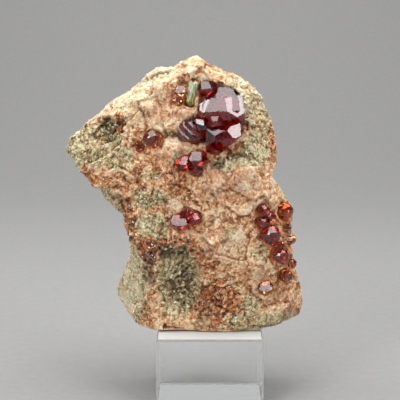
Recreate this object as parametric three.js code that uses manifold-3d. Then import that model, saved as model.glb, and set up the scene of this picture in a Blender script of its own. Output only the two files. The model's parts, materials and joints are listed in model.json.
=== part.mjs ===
// Garnet crystals on their host rock, which stands on a clear display block.
// Millimetres, +Z up, +X to the right, -Y to the front. The origin is the centre
// of the block's underside. Heights on the stone are measured from its foot.

import * as THREE from "three";
import { ConvexGeometry } from "three/addons/geometries/ConvexGeometry.js";
import { mergeVertices } from "three/addons/utils/BufferGeometryUtils.js";
import Module from "manifold-3d";

const wasm = await Module();
wasm.setup();

// Driving dimensions.
const BLOCK_SIDE = 40;
const BLOCK_HEIGHT = 25;
const BLOCK_CHAMFER = 0.5;
const GAP = 0.3; // air left between any two neighbouring pieces
const FOOT = BLOCK_HEIGHT + GAP; // height of the stone's foot
const HOST_FRONT = -20; // how far forward and back the rock's slabs reach
const HOST_BACK = 34;
const CRUST_BACK = 6; // the crust layer sinks this far into the host
const WELD = 1e-4; // corners nearer than this are one corner

// The stone's outer edge seen from the front, as [x, height] at each corner.
const STONE_EDGE = [
  // knob at the lower left, waist and horn
  [-27, 0], [-32, 5], [-36, 8], [-37, 12], [-30, 27], [-30, 35], [-33, 44],
  [-38, 47], [-43, 54], [-50, 61], [-55, 67], [-53, 73], [-50, 75],
  // long upper left edge, peak and right shoulder
  [-39, 85], [-28, 92], [-20, 99], [-14, 99], [-5, 104], [2, 99], [9, 97],
  [16, 92], [21, 85], [24, 76], [25, 64],
  // right waist, right edge and lower right corner
  [23, 59], [28, 51], [31, 46], [31, 30], [36, 9], [34, 5], [19, 0],
];

// The crust of massive garnet ends in a ledge at the left and low on the face.
const CRUST_EDGE = [
  [-42, 90], [-36, 84], [-32, 80], [-32, 73], [-38, 67], [-44, 64], [-50, 60],
  [-41, 49], [-33, 50], [-32, 42], [-33, 36], [-27, 31], [-27, 14], [-23, 12],
  [-20, 22], [-19, 31], [-15, 33], [-9, 32], [-6, 25], [-2, 17], [-6, 12],
  [-4, -2], [45, -2], [45, 110], [-30, 110],
];

// Corners of the host rock's broken faces, as [x, y, height].
const HOST_CORNERS = [
  // front
  [-46, -1, 68], [-36, -4, 82], [-6, -5, 98], [16, -3, 87], [22, -2, 70],
  [22, -5, 52], [29, -3, 36], [32, -3, 14], [31, -3, 6], [18, -7, 0],
  [-23, -9, 0], [-24, -8, 14], [-23, -8, 32], [-34, -5, 56], [0, -9, 60],
  // edge of the stone
  [-57, 7, 68], [-53, 9, 79], [-8, 9, 108], [22, 7, 92], [27, 5, 62],
  [34, 5, 50], [39, 6, 8], [36, 6, 2], [20, 4, 0], [-28, 2, 0],
  [-39, 9, 3], [-39, 10, 8], [-33, 12, 50],
  // back
  [-40, 22, 70], [-30, 27, 82], [-4, 24, 96], [12, 22, 86], [18, 30, 56],
  [24, 25, 24], [17, 24, 0], [-20, 23, 0], [-25, 28, 22], [-20, 32, 52],
];

// Corners of the crust's outer faces.
const CRUST_CORNERS = [
  // front
  [-47, -3, 66], [-37, -7, 58], [-33, -7, 76], [-30, -8, 84], [-16, -9, 93],
  [-4, -8, 100], [12, -7, 90], [18, -7, 80], [21, -6, 66], [14, -12, 60],
  [2, -14, 62], [-16, -13, 58], [23, -9, 48], [29, -6, 36], [31, -6, 20],
  [32, -5, 10], [24, -8, 4], [8, -9, 0], [-5, -9, 0], [4, -14, 32],
  [16, -12, 26], [-12, -14, 36], [-27, -9, 36], [-26, -9, 14],
  // where the faces run out behind the stone's edge
  [-57, 7, 66], [-53, 8, 79], [-8, 7, 108], [22, 5, 92], [28, 4, 62],
  [34, 4, 50], [39, 5, 8], [34, 4, 0], [-34, 6, 0], [-34, 6, 30],
];

// Broken hollows, each a wedge that is taken out of the stone. The corners at
// HOST_FRONT lie in the air before the face, and the others are in the rock.
const HORN_HOLLOW = [
  [-49, HOST_FRONT, 70], [-49, HOST_FRONT, 76], [-38, HOST_FRONT, 85],
  [-31, HOST_FRONT, 83], [-30, HOST_FRONT, 73], [-38, HOST_FRONT, 67],
  [-45, 2, 74], [-38, 0, 81], [-34, -2, 79], [-34, -3, 73], [-41, 0, 70],
];
const WAIST_HOLLOW = [
  [-60, HOST_FRONT, 44], [-45, HOST_FRONT, 56], [-32, HOST_FRONT, 52],
  [-30, HOST_FRONT, 42], [-36, HOST_FRONT, 30],
  [-60, 10, 44], [-42, 6, 54], [-33, 0, 51], [-32, 0, 42], [-40, 8, 30],
];
const SIDE_BREAK = [
  [-60, HOST_FRONT, -6], [-11, HOST_FRONT, -6], [-18, HOST_FRONT, 34],
  [-60, HOST_FRONT, 34], [-36, 14, -6], [-43, 14, 34], [-60, 14, -6], [-60, 14, 34],
];
const LEDGE_HOLLOW = [
  [-19, HOST_FRONT, 31], [-9, HOST_FRONT, 33], [-4, HOST_FRONT, 26],
  [-2, HOST_FRONT, 16], [-6, HOST_FRONT, 6], [-14, HOST_FRONT, 2],
  [-18, HOST_FRONT, 8], [-18, -6, 30], [-9, -5, 32], [-5, -6, 25],
  [-5, -8, 16], [-9, -9, 6], [-15, -9, 4], [-17, -8, 10],
];

const MATERIALS = {
  acrylic: new THREE.MeshStandardMaterial({
    color: 0xdfe6e8, roughness: 0.05, metalness: 0, transparent: true, opacity: 0.4,
  }),
  rock: new THREE.MeshStandardMaterial({
    color: 0xb08a6a, roughness: 0.85, metalness: 0, flatShading: true,
  }),
  redGarnet: new THREE.MeshStandardMaterial({
    color: 0x6a120c, roughness: 0.1, metalness: 0, flatShading: true,
  }),
  orangeGarnet: new THREE.MeshStandardMaterial({
    color: 0xa8401c, roughness: 0.15, metalness: 0, flatShading: true,
  }),
  diopside: new THREE.MeshStandardMaterial({
    color: 0xb9c79a, roughness: 0.35, metalness: 0, flatShading: true,
  }),
};

// A garnet crystal has the rhombic dodecahedron's twelve faces, and the
// trapezohedron's twenty-four bevel its edges. halfWidth runs from the centre to
// a dodecahedron face; at a bevel of 0.87 those faces vanish, at 1.15 the bevels.
const RED = "redGarnet";
const ORANGE = "orangeGarnet";
const GARNETS = [
  { name: "garnet_main", material: RED, crystals: [
    { x: 4.3, h: 82.2, halfWidth: 7.2, bevel: 1.06, turn: [-24, 12, 20], stand: 3 },
    { x: 5.5, h: 87.6, halfWidth: 5.2, bevel: 1.08, turn: [-10, -20, 30], stand: 0 },
    { x: 6.6, h: 74.4, halfWidth: 5.5, bevel: 1.05, turn: [-30, -14, 8], stand: 4.5 },
    { x: -4.4, h: 76.2, halfWidth: 4.7, bevel: 1, turn: [-20, 25, 40], stand: 2.5 },
    { x: 1.8, h: 79.8, halfWidth: 2.6, bevel: 0.9, turn: [10, 5, 15], stand: 8 },
  ] },
  { name: "garnet_upper_small", material: RED, crystals: [
    { x: -1, h: 92.2, halfWidth: 3.2, bevel: 1, turn: [-20, 10, 35], stand: 1.4 },
  ] },
  { name: "garnet_upper_left", material: ORANGE, crystals: [
    { x: -10.8, h: 91, halfWidth: 2.3, bevel: 0.98, turn: [-25, 15, 10], stand: 1.2 },
    { x: -11.8, h: 88, halfWidth: 2.1, bevel: 0.95, turn: [0, 30, 20], stand: 0.8 },
  ] },
  { name: "garnet_left", material: ORANGE, crystals: [
    { x: -21.3, h: 73.9, halfWidth: 3.5, bevel: 0.92, turn: [-18, -12, 25], stand: 1.5 },
  ] },
  { name: "garnet_left_tiny", material: RED, crystals: [
    { x: -26.2, h: 70.2, halfWidth: 1.4, bevel: 0.95, turn: [0, 20, 30], stand: 0.6 },
  ] },
  { name: "garnet_lower_pair", material: RED, crystals: [
    { x: -4.6, h: 66.6, halfWidth: 3.5, bevel: 1.04, turn: [-26, 8, 28], stand: 2 },
    { x: -9.2, h: 65, halfWidth: 2.8, bevel: 1, turn: [-20, 30, 10], stand: 1 },
    { x: -5.2, h: 62.4, halfWidth: 2.5, bevel: 0.92, turn: [-5, 10, 50], stand: 1 },
  ] },
  { name: "garnet_middle", material: RED, crystals: [
    { x: -11.2, h: 43, halfWidth: 3.2, bevel: 1.08, turn: [-30, 18, 15], stand: 1.6 },
    { x: -8.6, h: 46.6, halfWidth: 2.3, bevel: 0.95, turn: [-10, 0, 30], stand: 1.2 },
    { x: -5.8, h: 44.6, halfWidth: 2.6, bevel: 1, turn: [-15, -20, 10], stand: 0.8 },
  ] },
  { name: "garnet_right_cluster", material: RED, crystals: [
    { x: 22.8, h: 37.6, halfWidth: 3.9, bevel: 0.92, turn: [-22, -10, 30], stand: 1.8 },
    { x: 20, h: 42.4, halfWidth: 2.7, bevel: 0.96, turn: [-20, 20, 10], stand: 1 },
    { x: 22.6, h: 44.4, halfWidth: 2.2, bevel: 0.92, turn: [-10, 10, 45], stand: 1.2 },
    { x: 20, h: 46.8, halfWidth: 2.3, bevel: 1, turn: [-28, 12, 20], stand: 1 },
  ] },
  { name: "garnet_right_round", material: ORANGE, crystals: [
    { x: 28.4, h: 45.6, halfWidth: 3.5, bevel: 0.89, turn: [-10, -15, 20], stand: 0.6 },
  ] },
  { name: "garnet_right_orange", material: ORANGE, crystals: [
    { x: 29.3, h: 39.4, halfWidth: 1.5, bevel: 0.92, turn: [0, 20, 30], stand: 0.6 },
  ] },
  { name: "garnet_right_edge", material: ORANGE, crystals: [
    { x: 30.9, h: 34.8, halfWidth: 2, bevel: 0.9, turn: [-10, 10, 10], stand: 0.4 },
  ] },
  { name: "garnet_right_lower", material: RED, crystals: [
    { x: 26.8, h: 29.4, halfWidth: 3.1, bevel: 0.95, turn: [-25, -15, 25], stand: 1.5 },
    { x: 26.5, h: 33, halfWidth: 2, bevel: 0.92, turn: [-5, 0, 30], stand: 1 },
  ] },
  { name: "garnet_right_red", material: RED, crystals: [
    { x: 31.4, h: 25.6, halfWidth: 1.7, bevel: 0.95, turn: [0, -20, 20], stand: 0.5 },
  ] },
  { name: "garnet_right_pink", material: ORANGE, crystals: [
    { x: 29, h: 21.4, halfWidth: 2.7, bevel: 0.89, turn: [-20, 0, 15], stand: 1 },
  ] },
  { name: "garnet_low", material: ORANGE, crystals: [
    { x: 21.2, h: 17, halfWidth: 2.7, bevel: 0.95, turn: [-28, 15, 20], stand: 1.2 },
  ] },
];

// Massive garnet in the crust: intergrown crystals, each with one broad face
// that stands a little proud of the crust around it and faces forward.
const CRUST_PLATES = [
  { x: -7, h: 96, halfWidth: 4, tilt: [8, 20, 10] },
  { x: -17, h: 91, halfWidth: 4.4, tilt: [-6, 0, -12] },
  { x: -23, h: 85, halfWidth: 5.2, tilt: [6, 40, 8] },
  { x: -8, h: 83, halfWidth: 4.6, tilt: [-10, 15, 12] },
  { x: -28, h: 62, halfWidth: 5, tilt: [10, 30, -10] },
  { x: -37, h: 58, halfWidth: 4.2, tilt: [4, 0, -14] },
  { x: -14, h: 69, halfWidth: 4.8, tilt: [-6, 50, 6] },
  { x: -16, h: 56, halfWidth: 5.4, tilt: [8, 10, -6] },
  { x: 2, h: 57, halfWidth: 4.8, tilt: [-8, 70, -8] },
  { x: 12, h: 59, halfWidth: 5.6, tilt: [4, 25, 10] },
  { x: 17, h: 51, halfWidth: 4.6, tilt: [-8, 60, 14] },
  { x: 1, h: 34, halfWidth: 6.4, tilt: [6, 35, -6] },
  { x: 16, h: 27, halfWidth: 4.6, tilt: [-8, 5, 10] },
  { x: 10, h: 12, halfWidth: 5, tilt: [12, 45, 4] },
  { x: 27, h: 12, halfWidth: 4.2, tilt: [6, 20, 16] },
  { x: -23, h: 25, halfWidth: 3, tilt: [0, 30, -16] },
  { x: -28, h: 44, halfWidth: 3.6, tilt: [6, 10, -18] },
];
const PLATE_STAND = 0.9;
const PLATE_BEVEL = 1.06;
const FACE_FORWARD = 45; // turns a dodecahedron face to the front

// The diopside prism leans to the left between the two small upper garnets.
const PRISM = { x: -6.6, h: 90.6, width: 3.2, length: 9.5, leanDegrees: 16, stand: 0.6 };

function radians(degrees) {
  return THREE.MathUtils.degToRad(degrees);
}

function toSolid(geometry) {
  const bare = geometry.clone();
  bare.deleteAttribute("normal");
  bare.deleteAttribute("uv");
  const merged = mergeVertices(bare, WELD);
  return new wasm.Manifold(new wasm.Mesh({
    numProp: 3,
    vertProperties: new Float32Array(merged.attributes.position.array),
    triVerts: new Uint32Array(merged.index.array),
  }));
}

function toGeometry(solid) {
  const mesh = solid.getMesh();
  const geometry = new THREE.BufferGeometry();
  const positions = new Float32Array(mesh.vertProperties);
  geometry.setAttribute("position", new THREE.BufferAttribute(positions, 3));
  geometry.setIndex(new THREE.BufferAttribute(new Uint32Array(mesh.triVerts), 1));
  geometry.computeVertexNormals();
  return geometry;
}

// The mesh's own origin is the middle of its piece.
function placedMesh(name, geometry, material) {
  geometry.computeBoundingBox();
  const middle = geometry.boundingBox.getCenter(new THREE.Vector3());
  geometry.translate(-middle.x, -middle.y, -middle.z);
  const mesh = new THREE.Mesh(geometry, material);
  mesh.name = name;
  mesh.position.copy(middle);
  return mesh;
}

// Rock.

function convexRock(corners) {
  const points = corners.map(([x, y, height]) => new THREE.Vector3(x, y, FOOT + height));
  return toSolid(new ConvexGeometry(points));
}

function rockSlab(edge, front, back) {
  const corners = edge.map(([x, height]) => new THREE.Vector2(x, FOOT + height));
  const slab = new THREE.ExtrudeGeometry(new THREE.Shape(corners), {
    depth: back - front,
    bevelEnabled: false,
  });
  slab.rotateX(Math.PI / 2);
  slab.translate(0, back, 0);
  return toSolid(slab);
}

function brokenStone() {
  const outer = rockSlab(STONE_EDGE, HOST_FRONT, HOST_BACK);
  const host = outer.intersect(convexRock(HOST_CORNERS));
  const crust = rockSlab(CRUST_EDGE, HOST_FRONT, CRUST_BACK)
    .intersect(outer)
    .intersect(convexRock(CRUST_CORNERS));
  return host
    .add(crust)
    .subtract(convexRock(HORN_HOLLOW))
    .subtract(convexRock(WAIST_HOLLOW))
    .subtract(convexRock(SIDE_BREAK))
    .subtract(convexRock(LEDGE_HOLLOW));
}

// Where a line from the front at x and z meets the stone's face.
function faceDepth(stoneMesh, x, z) {
  const ray = new THREE.Raycaster(
    new THREE.Vector3(x, HOST_FRONT, z),
    new THREE.Vector3(0, 1, 0),
  );
  return ray.intersectObject(stoneMesh)[0].point.y;
}

// Crystals.

function dodecahedronPoints(halfWidth) {
  const axial = halfWidth * Math.SQRT2;
  const points = [];
  for (const sign of [-1, 1]) {
    points.push(new THREE.Vector3(sign * axial, 0, 0));
    points.push(new THREE.Vector3(0, sign * axial, 0));
    points.push(new THREE.Vector3(0, 0, sign * axial));
    for (const signY of [-1, 1]) {
      for (const signZ of [-1, 1]) {
        points.push(new THREE.Vector3(sign, signY, signZ).multiplyScalar(axial / 2));
      }
    }
  }
  return points;
}

function trapezohedronPoints(halfWidth) {
  const reach = halfWidth * Math.sqrt(6);
  const points = [];
  for (const a of [-1, 0, 1]) {
    for (const b of [-1, 0, 1]) {
      for (const c of [-1, 0, 1]) {
        const axes = Math.abs(a) + Math.abs(b) + Math.abs(c);
        if (axes > 0) {
          points.push(new THREE.Vector3(a, b, c).multiplyScalar(reach / (axes + 1)));
        }
      }
    }
  }
  return points;
}

// widening makes the crystal's socket, which is larger all round.
function crystalSolid(crystal, centre, widening) {
  const halfWidth = crystal.halfWidth + widening;
  const [x, y, z] = crystal.turn.map(radians);
  const place = new THREE.Matrix4().makeRotationFromEuler(new THREE.Euler(x, y, z));
  place.setPosition(centre);
  const faces = new ConvexGeometry(dodecahedronPoints(halfWidth)).applyMatrix4(place);
  const bevels = new ConvexGeometry(trapezohedronPoints(halfWidth * crystal.bevel))
    .applyMatrix4(place);
  return toSolid(faces).intersect(toSolid(bevels));
}

function plateSolid(plate, stoneMesh) {
  const z = FOOT + plate.h;
  const y = faceDepth(stoneMesh, plate.x, z) + plate.halfWidth - PLATE_STAND;
  const [pitch, roll, yaw] = plate.tilt;
  const crystal = {
    halfWidth: plate.halfWidth,
    bevel: PLATE_BEVEL,
    turn: [FACE_FORWARD + pitch, roll, yaw],
  };
  return crystalSolid(crystal, new THREE.Vector3(plate.x, y, z), 0);
}

function roughStone() {
  const stone = brokenStone();
  const stoneMesh = new THREE.Mesh(toGeometry(stone));
  return CRUST_PLATES.reduce(
    (joined, plate) => joined.add(plateSolid(plate, stoneMesh)),
    stone,
  );
}

function garnetSolid(garnet, stoneMesh, widening) {
  const solids = garnet.crystals.map((crystal) => {
    const z = FOOT + crystal.h;
    const y = faceDepth(stoneMesh, crystal.x, z) - crystal.stand;
    return crystalSolid(crystal, new THREE.Vector3(crystal.x, y, z), widening);
  });
  return solids.reduce((joined, solid) => joined.add(solid));
}

function prismSolid(stoneMesh, widening) {
  const radius = PRISM.width / 2 + widening;
  const length = PRISM.length + 2 * widening;
  const prism = new THREE.CylinderGeometry(radius, radius, length, 8);
  prism.rotateX(Math.PI / 2);
  prism.rotateY(radians(PRISM.leanDegrees));
  const z = FOOT + PRISM.h;
  prism.translate(PRISM.x, faceDepth(stoneMesh, PRISM.x, z) - PRISM.stand, z);
  return toSolid(prism);
}

// Pieces.

function displayBlock() {
  const half = BLOCK_SIDE / 2 - BLOCK_CHAMFER;
  const square = new THREE.Shape([
    new THREE.Vector2(-half, -half),
    new THREE.Vector2(half, -half),
    new THREE.Vector2(half, half),
    new THREE.Vector2(-half, half),
  ]);
  const block = new THREE.ExtrudeGeometry(square, {
    depth: BLOCK_HEIGHT - 2 * BLOCK_CHAMFER,
    bevelThickness: BLOCK_CHAMFER,
    bevelSize: BLOCK_CHAMFER,
    bevelSegments: 1,
  });
  block.translate(0, 0, BLOCK_CHAMFER);
  return placedMesh("display_block", block, MATERIALS.acrylic);
}

function specimen() {
  const group = new THREE.Group();
  const rough = roughStone();
  const roughMesh = new THREE.Mesh(toGeometry(rough));
  let matrix = rough;
  let sockets = null;
  const seat = (name, solid, socket, material) => {
    const piece = sockets ? solid.subtract(sockets) : solid;
    group.add(placedMesh(name, toGeometry(piece), material));
    sockets = sockets ? sockets.add(socket) : socket;
    matrix = matrix.subtract(socket);
  };
  for (const garnet of GARNETS) {
    const solid = garnetSolid(garnet, roughMesh, 0);
    const socket = garnetSolid(garnet, roughMesh, GAP);
    seat(garnet.name, solid, socket, MATERIALS[garnet.material]);
  }
  const prism = prismSolid(roughMesh, 0);
  seat("diopside_prism", prism, prismSolid(roughMesh, GAP), MATERIALS.diopside);
  group.add(placedMesh("matrix", toGeometry(matrix), MATERIALS.rock));
  return group;
}

const garnetInMatrix = new THREE.Group();
garnetInMatrix.add(displayBlock(), specimen());

export default garnetInMatrix;
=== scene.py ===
import json
import math

import bpy
import numpy as np
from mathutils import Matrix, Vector, kdtree, noise


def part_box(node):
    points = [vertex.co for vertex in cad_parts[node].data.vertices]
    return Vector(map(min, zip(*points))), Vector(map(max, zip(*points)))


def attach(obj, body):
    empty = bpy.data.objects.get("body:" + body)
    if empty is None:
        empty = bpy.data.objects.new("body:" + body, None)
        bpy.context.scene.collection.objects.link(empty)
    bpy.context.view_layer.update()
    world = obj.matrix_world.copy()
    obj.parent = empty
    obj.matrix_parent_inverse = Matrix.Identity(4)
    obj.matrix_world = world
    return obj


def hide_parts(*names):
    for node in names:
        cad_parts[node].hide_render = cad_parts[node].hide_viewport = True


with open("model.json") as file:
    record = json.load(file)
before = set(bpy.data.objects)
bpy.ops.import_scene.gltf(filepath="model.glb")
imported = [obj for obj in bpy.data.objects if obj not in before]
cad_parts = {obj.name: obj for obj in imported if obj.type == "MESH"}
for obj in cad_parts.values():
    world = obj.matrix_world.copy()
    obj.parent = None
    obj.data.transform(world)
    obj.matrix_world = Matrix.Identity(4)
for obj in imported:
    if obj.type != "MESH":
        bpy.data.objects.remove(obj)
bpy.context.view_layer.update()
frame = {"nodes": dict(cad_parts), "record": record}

scene = bpy.context.scene
bpy.ops.object.select_all(action="DESELECT")

# ---------------------------------------------------------------------------
# Display block. A square block of clear acrylic, sawn, polished clear on its
# sides and chamfered. It has fine scratches and some dust. The CAD block has the
# right shape, so it only gets its plastic, and its frosted top is a thin skin.

MM = 0.001
ACRYLIC_IOR = 1.49
SCRATCH_PITCH = 9 * MM
DUST_GRAIN = 0.5 * MM
CHAMFER = 0.75 * MM
SCRATCH_DEPTH = 0.004 * MM
FROST = 0.08 * MM
FROST_CORNER = 0.4 * MM


def node(tree, kind, **settings):
    """Adds a node; a setting named after a socket sets it, and any other an attribute."""
    made = tree.nodes.new(kind)
    for name, value in settings.items():
        socket = name.replace("_", " ")
        if socket in made.inputs:
            made.inputs[socket].default_value = value
        else:
            setattr(made, name, value)
    return made


def new_material(name):
    material = bpy.data.materials.new(name)
    material.use_nodes = True
    tree = material.node_tree
    shader = tree.nodes["Principled BSDF"]
    place = node(tree, "ShaderNodeTexCoord")
    return material, tree, shader, place.outputs["Object"]


def ramp(tree, factor, stops):
    """A colour ramp through stops of (position, colour)."""
    made = node(tree, "ShaderNodeValToRGB")
    elements = made.color_ramp.elements
    while len(elements) < len(stops):
        elements.new(0.5)
    for element, (position, colour) in zip(elements, stops):
        element.position = position
        element.color = (*colour, 1)
    tree.links.new(factor, made.inputs["Fac"])
    return made.outputs["Color"]


def grey(value):
    return (value, value, value)


def noise_value(tree, place, size, detail=4.0, roughness=0.55, distortion=0.0):
    made = node(tree, "ShaderNodeTexNoise", Scale=1 / size, Detail=detail,
                Roughness=roughness, Distortion=distortion)
    tree.links.new(place, made.inputs["Vector"])
    return made.outputs["Fac"]


def bump(tree, shader, height, distance, strength):
    made = node(tree, "ShaderNodeBump", Strength=strength, Distance=distance)
    tree.links.new(height, made.inputs["Height"])
    tree.links.new(made.outputs["Normal"], shader.inputs["Normal"])


def dress(piece, material):
    piece.data.materials.clear()
    piece.data.materials.append(material)


def linked(tree, value, socket):
    if isinstance(value, bpy.types.NodeSocket):
        tree.links.new(value, socket)
    else:
        socket.default_value = value


def mixed(tree, factor, under, over, blend="MIX"):
    """Lays one colour over another; each may be a socket or a plain colour."""
    made = node(tree, "ShaderNodeMix", data_type="RGBA", blend_type=blend)
    linked(tree, factor, made.inputs[0])
    for socket, colour in ((made.inputs[6], under), (made.inputs[7], over)):
        linked(tree, colour if isinstance(colour, bpy.types.NodeSocket) else (*colour, 1), socket)
    return made.outputs[2]


def calculated(tree, operation, first, second, clamp=False):
    made = node(tree, "ShaderNodeMath", operation=operation, use_clamp=clamp)
    linked(tree, first, made.inputs[0])
    linked(tree, second, made.inputs[1])
    return made.outputs["Value"]


def acrylic():
    material, tree, shader, place = new_material("acrylic")
    shader.inputs["Transmission Weight"].default_value = 1
    shader.inputs["IOR"].default_value = ACRYLIC_IOR
    dust = noise_value(tree, place, DUST_GRAIN, 2)
    shine = ramp(tree, dust, [(0.62, grey(0.015)), (0.72, grey(0.16))])
    axes = node(tree, "ShaderNodeSeparateXYZ")
    tree.links.new(place, axes.inputs["Vector"])
    near_sides = []
    for axis in "XYZ":
        low, high = (getattr(corner, axis.lower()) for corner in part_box("display_block"))
        offset = calculated(tree, "SUBTRACT", axes.outputs[axis], (low + high) / 2)
        offset = calculated(tree, "ABSOLUTE", offset, 0)
        near_sides.append(calculated(tree, "GREATER_THAN", offset, (high - low) / 2 - CHAMFER))
    touching = calculated(tree, "ADD", near_sides[0], near_sides[1])
    touching = calculated(tree, "ADD", touching, near_sides[2])
    # A place near two or more sides is on a chamfer, which is sawn and less clear.
    on_edge = calculated(tree, "GREATER_THAN", touching, 1.5)
    tree.links.new(mixed(tree, on_edge, shine, grey(0.5)), shader.inputs["Roughness"])
    tint = ramp(tree, dust, [(0.5, (0.97, 0.985, 0.99)), (0.8, (0.93, 0.94, 0.94))])
    tree.links.new(tint, shader.inputs["Base Color"])
    scratches = node(tree, "ShaderNodeTexWave", Scale=1 / SCRATCH_PITCH, Distortion=14,
                     Detail=6, Detail_Scale=1.6)
    tree.links.new(place, scratches.inputs["Vector"])
    bump(tree, shader, scratches.outputs["Fac"], SCRATCH_DEPTH, 0.35)
    return material


def frosted_top():
    """The ground, off-white skin of the block's top face."""
    low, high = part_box("display_block")
    bpy.ops.object.select_all(action="DESELECT")
    bpy.ops.mesh.primitive_plane_add(size=high.x - low.x - 2 * CHAMFER)
    skin = bpy.context.object
    skin.name = "block_top"
    skin.location = ((low.x + high.x) / 2, (low.y + high.y) / 2, high.z)
    bpy.ops.object.transform_apply()
    bpy.ops.object.mode_set(mode="EDIT")
    bpy.ops.mesh.select_all(action="SELECT")
    bpy.ops.mesh.bevel(offset=FROST_CORNER, segments=2, affect="VERTICES")
    bpy.ops.mesh.select_all(action="SELECT")
    bpy.ops.mesh.extrude_region_move(TRANSFORM_OT_translate={"value": (0, 0, FROST)})
    bpy.ops.mesh.select_all(action="SELECT")
    bpy.ops.mesh.normals_make_consistent(inside=False)
    bpy.ops.object.mode_set(mode="OBJECT")
    material, tree, shader, place = new_material("ground_acrylic")
    grind = noise_value(tree, place, DUST_GRAIN, 5, 0.7)
    tone = ramp(tree, grind, [(0.35, (0.47, 0.48, 0.47)), (0.65, (0.6, 0.61, 0.59))])
    tree.links.new(tone, shader.inputs["Base Color"])
    shader.inputs["Roughness"].default_value = 0.55
    dress(skin, material)
    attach(skin, "root")


dress(frame["nodes"]["display_block"], acrylic())
frosted_top()

# ---------------------------------------------------------------------------
# Stone. One broken piece of rock: a pale green, granular diopside host, and over
# its front a crust of massive garnet, pink to rusty brown, that broke into flat
# grains and ends in a ledge at the lower left.

STONE_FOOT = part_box("matrix")[0].z / MM
VOXEL = 0.4 * MM
CRUST_BACK = 1.5         # y in mm where the crust gives way to the host
CRUST_BLUR = 2           # mm to either side over which it does so
STONE_TRIANGLES = 196_000
SHARP_ANGLE = 14         # degrees between faces from which an edge looks sharp
NOISE_SEED = 12          # so that borders wander the same way at every run

# Broken grains of three sizes: seed, size in mm, tilt, step in mm.
COARSE_GRAIN = (11, 11.0, 0.08, 0.35)
CRUST_GRAIN = (12, 4.2, 0.1, 0.11)
FINE_GRAIN = (13, 1.3, 0.28, 0.09)
GRAIN_SEAM = 0.15        # mm from a grain's border within which two grains blend
GRAIN_MARGIN = 10        # mm to which the box that holds the grains is rounded

# How borders wander and the surface is roughened: size and amount in mm, seed.
GRAIN_WANDER = [(6.0, 1.5, 1), (1.8, 0.4, 2)]
PATCH_WANDER = (2.5, 1.6, 3)
CRUST_WANDER = (13, 6, 5)
SURFACE_ROUGHNESS = (0.9, 0.22, 4)

# Patches of each finish and of painted shade: (x, height above the foot, half width,
# half height, strength), in mm.
GREEN = [
    (-45, 71, 12, 9, 1), (-37, 76, 6, 6, 0.95), (-34, 66, 7, 6, 0.8), (-38, 49, 6, 6, 1),
    (-31, 16, 8, 22, 1), (-12, 20, 9, 17, 1), (-24, 51, 5, 4, 0.95), (-19, 52, 5, 3.5, 0.95),
    (-22, 41, 8, 5.5, 0.95), (14, 91, 8, 5, 1), (18, 83, 6, 8, 1), (20, 74, 5, 7, 0.85),
    (17, 69, 7, 6, 0.9), (8, 65, 9, 2.5, 0.9), (18, 4, 14, 4.5, 0.95), (16, 11, 4, 4, 0.8),
    (19, 32, 3.2, 4, 0.9), (7, 38, 3, 5, 0.6), (-22, 60, 4, 3, 0.65), (-12, 66, 2, 4, 0.7),
]
RUST = [
    (-32, 46, 3.5, 9, 1), (-30, 38, 4, 5, 0.9), (-23, 32, 4, 6, 0.9), (-14, 35.5, 10, 1.8, 0.95),
    (-5, 31, 2.5, 5, 0.9), (3, 13, 9, 10, 0.95), (-52.5, 66, 2.5, 6, 0.95), (-48, 60, 5, 2.5, 0.9),
    (-36, 10, 2.5, 3.5, 1), (-9, 95, 4, 3, 0.8), (-33, 79, 3, 5, 0.8), (-24, 72, 6, 3, 0.8),
    (-40, 57, 9, 3, 0.65), (-30, 57, 6, 4, 0.6), (31, 40, 4, 14, 0.75), (24, 22, 7, 4, 0.5),
    (12, 21, 6, 3, 0.55), (-13, 58, 6, 7, 0.65), (-25, 5, 4, 7, 0.6), (-8, 52, 3, 5, 0.6),
    (24, 74, 2, 8, 0.8), (23, 84, 2, 4, 0.8), (14, 52, 6, 3, 0.5), (0, 27, 4, 3, 0.7),
    (-11, 89, 3, 5, 0.6),
]
CREAM = [
    (10, 34, 5, 7, 0.95), (5, 20, 5, 4, 0.8), (-9, 47, 5, 6, 0.7), (-28, 82, 6, 4, 0.85),
    (-17, 79, 7, 4, 0.75), (-20, 88, 5, 4, 0.65), (-3, 97, 4, 4, 0.65), (-14, 50, 5, 5, 0.7),
    (3, 45, 6, 5, 0.65), (20, 50, 5, 5, 0.55), (10, 94, 5, 3, 0.7), (-47, 79, 5, 6, 0.7),
    (28, 12, 5, 5, 0.5), (-42, 62, 4, 3, 0.6),
]
# Painted shade: darker patches in the hollows, under the ledge, beside and beneath the large garnets
# and along the underside at the foot.
PAINTED_SHADE_PATCHES = [
    (-38, 76, 4, 5.5, 1), (-23, 25, 3.5, 8, 0.95), (-11, 18, 6, 11, 0.85), (-2, 8, 5, 6, 0.65),
    (-16, 75, 4, 1.5, 1), (3, 65, 3, 3, 0.9), (12, 67, 8, 1.5, 0.9), (20, 79, 3, 6, 0.45),
    (6, 2, 14, 2.5, 0.6), (-9, 97, 2, 2, 0.7), (24, 44, 5, 3, 0.3), (-14, 32, 9, 3.5, 0.9),
]
RIND = [(-32, 16, 7, 22, 0.72), (17, 88, 6, 6, 0.6), (-38, 48, 5, 5, 0.6)]
SMOOTH = [(-33, 24, 7, 22, 1), (-46, 73, 6, 4, 0.3)]
PINK = [
    (1, 34, 8, 8, 0.9), (2, 57, 6, 7, 0.9), (12, 58, 8, 8, 0.9), (17, 50, 7, 6, 0.8),
    (-14, 69, 7, 6, 0.9), (-8, 83, 5, 6, 0.9), (-17, 91, 6, 5, 0.6), (-23, 84, 7, 6, 0.7),
    (-37, 58, 6, 4, 0.6), (-16, 56, 6, 5, 0.5), (27, 12, 6, 7, 0.6), (16, 27, 6, 6, 0.5),
    (-6, 97, 5, 5, 0.5), (22, 58, 4, 8, 0.6),
]
WORN = [(-10, 17, 22, 17, 1)]    # where a hollow's walls are worn down to a slope
WEAR_ROUNDS = 80
SEAT_DEPTH = 7.5 * MM    # how deep the large garnets sit in their cavity
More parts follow.
